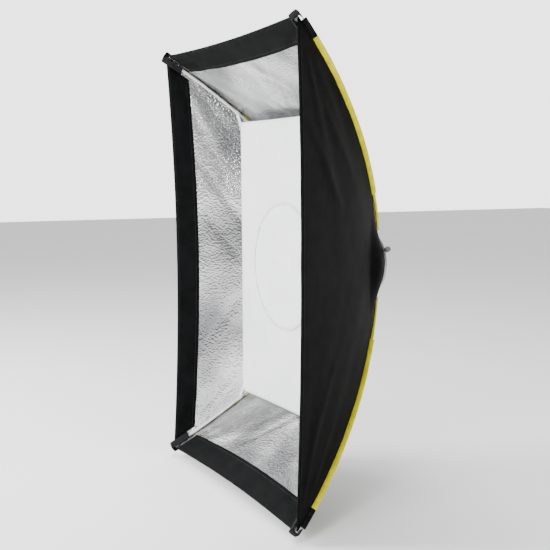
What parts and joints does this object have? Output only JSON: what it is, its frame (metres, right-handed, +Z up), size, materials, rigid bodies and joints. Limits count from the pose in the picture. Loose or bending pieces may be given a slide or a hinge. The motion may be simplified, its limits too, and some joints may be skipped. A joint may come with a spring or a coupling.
{
  "type": "softbox",
  "caption": "Rectangular softbox: silver-lined cloth walls on bowed corner rods, an inner diffuser baffle, rear access flaps and a rotating bayonet speed ring.",
  "frame": {"origin": "centre of the bayonet's seat plane, on the optical axis", "axes": "+Y points back along the optical axis, out of the rear; +X points to the right panel, the one with its outside in view; +Z is up, along the long side"},
  "size_m": [0.622, 0.3703, 0.9206],
  "materials": {
    "black_cloth": "woven nylon, black outside and metallic silver inside",
    "black_webbing": "woven webbing",
    "black_tape": "hook and loop tape",
    "yellow_binding": "grosgrain binding",
    "white_diffuser": "thin translucent cloth",
    "white_elastic": "woven elastic",
    "ring_alloy": "satin die casting",
    "lug_steel": "brushed",
    "dark_screws": "black oxide",
    "white_rod": "pultruded glass fibre",
    "grey_plastic": "moulded",
    "white_nylon": "moulded"
  },
  "bodies": {
    "adapter": {"bayonet_insert": "ring_alloy", "lug_plate": "lug_steel", "lug_screws": "dark_screws"},
    "softbox": {"speed_ring": "ring_alloy", "retaining_ring": "ring_alloy", "retaining_screws": "dark_screws", "rod_ferrules": "lug_steel", "front_bindings": "black_webbing", "closure_strips": "black_tape", "baffle": "white_diffuser", "baffle_disc": "white_diffuser", "panel_top": "black_cloth", "lip_top": "black_cloth", "hem_top": "black_webbing", "rod_top_left": "white_rod", "rod_cap_top_left": "grey_plastic", "pocket_top_left": "black_webbing", "piping_top_left": "yellow_binding", "baffle_tab_top_left": "white_elastic", "rod_top_right": "white_rod", "rod_cap_top_right": "grey_plastic", "pocket_top_right": "black_webbing", "piping_top_right": "yellow_binding", "baffle_tab_top_right": "white_elastic", "panel_bottom": "black_cloth", "lip_bottom": "black_cloth", "hem_bottom": "black_webbing", "rod_bottom_left": "white_rod", "rod_cap_bottom_left": "grey_plastic", "pocket_bottom_left": "black_webbing", "piping_bottom_left": "yellow_binding", "baffle_tab_bottom_left": "white_elastic", "rod_bottom_right": "white_rod", "rod_cap_bottom_right": "grey_plastic", "pocket_bottom_right": "black_webbing", "piping_bottom_right": "yellow_binding", "baffle_tab_bottom_right": "white_elastic", "panel_left": "black_cloth", "lip_left": "black_cloth", "hem_left": "black_webbing", "panel_right": "black_cloth", "lip_right": "black_cloth", "hem_right": "black_webbing"},
    "lock_pad": {"lock_pad": "white_nylon"},
    "lock_screw": {"lock_shank": "lug_steel", "lock_knob": "grey_plastic"},
    "flap_top": {"flap_top": "black_cloth", "flap_top_piping": "yellow_binding", "flap_top_hooks": "black_tape"},
    "flap_bottom": {"flap_bottom": "black_cloth", "flap_bottom_piping": "yellow_binding", "flap_bottom_hooks": "black_tape"}
  },
  "joints": [
    {"name": "ring_turn", "type": "hinge", "parent": "adapter", "child": "softbox", "pos_m": [0, 0, 0], "axis": [0, 1, 0], "continuous": true},
    {"name": "lock_press", "type": "slide", "parent": "softbox", "child": "lock_pad", "axis": [0.9135, 0, 0.4067], "range_m": [0, 0.0024]},
    {"name": "lock_turn", "type": "hinge", "parent": "lock_pad", "child": "lock_screw", "pos_m": [0.06395, -0.006, 0.02847], "axis": [0.9135, 0, 0.4067], "range_deg": [0, 1080]},
    {"name": "flap_top_hinge", "type": "hinge", "parent": "softbox", "child": "flap_top", "pos_m": [0, -0.06274, 0.15188], "axis": [1, 0, 0], "range_deg": [0, 110]},
    {"name": "flap_bottom_hinge", "type": "hinge", "parent": "softbox", "child": "flap_bottom", "pos_m": [0, -0.06274, -0.15188], "axis": [-1, 0, 0], "range_deg": [0, 110]}
  ],
  "couplings": [
    {"joint": "lock_turn", "follows": "lock_press", "rad_per_m": 7854}
  ]
}
